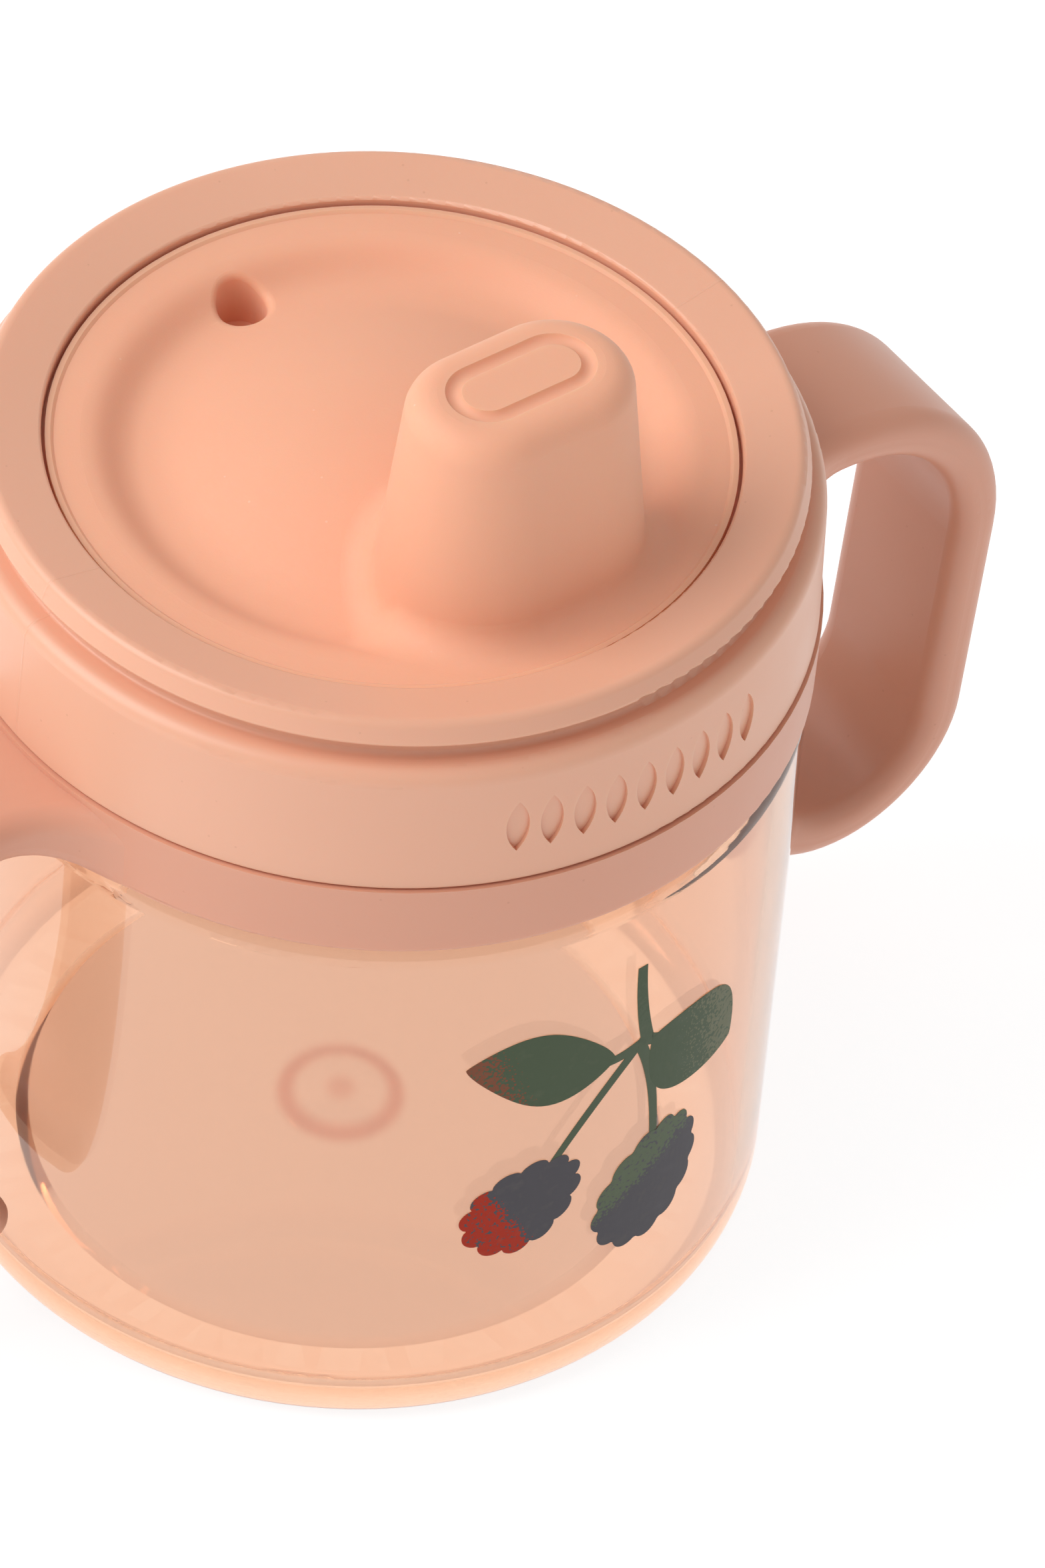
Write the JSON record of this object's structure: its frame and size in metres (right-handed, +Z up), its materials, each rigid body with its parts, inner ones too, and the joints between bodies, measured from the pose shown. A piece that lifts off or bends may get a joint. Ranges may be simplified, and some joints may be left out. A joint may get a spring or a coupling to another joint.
{
  "type": "toddler spout cup",
  "caption": "Translucent toddler cup with a screw collar, soft spout lid with a vent, and a clamped ring that carries two hooked side handles.",
  "frame": {"origin": "centre of the base, on the surface that the cup stands on", "axes": "+X along the two handles, +Z up, the spout stands on the -Y side and the vent on the +Y side"},
  "size_m": [0.1388, 0.0824, 0.112],
  "materials": {
    "cup": "glossy translucent peach-tinted moulding",
    "handles": "fine matte moulded polypropylene",
    "collar": "satin moulded polypropylene",
    "soft_insert": "velvety matte silicone"
  },
  "bodies": {
    "cup_body": {"cup": "cup"},
    "handles": {"handle_ring": "handles"},
    "lid_insert": {"spout_insert": "soft_insert"},
    "collar": {"screw_collar": "collar"}
  },
  "joints": [
    {"name": "handle_swivel", "type": "hinge", "parent": "cup_body", "child": "handles", "pos_m": [0, 0, 0.07], "axis": [0, 0, 1], "continuous": true},
    {"name": "lid_lift", "type": "slide", "parent": "cup_body", "child": "lid_insert", "axis": [0, 0, 1], "range_m": [0, 0.0062]},
    {"name": "collar_turn", "type": "hinge", "parent": "lid_insert", "child": "collar", "pos_m": [0, 0, 0.082], "axis": [0, 0, 1], "range_deg": [0, 495]}
  ],
  "couplings": [
    {"joint": "lid_lift", "follows": "collar_turn", "m_per_rad": 0.0007162}
  ]
}
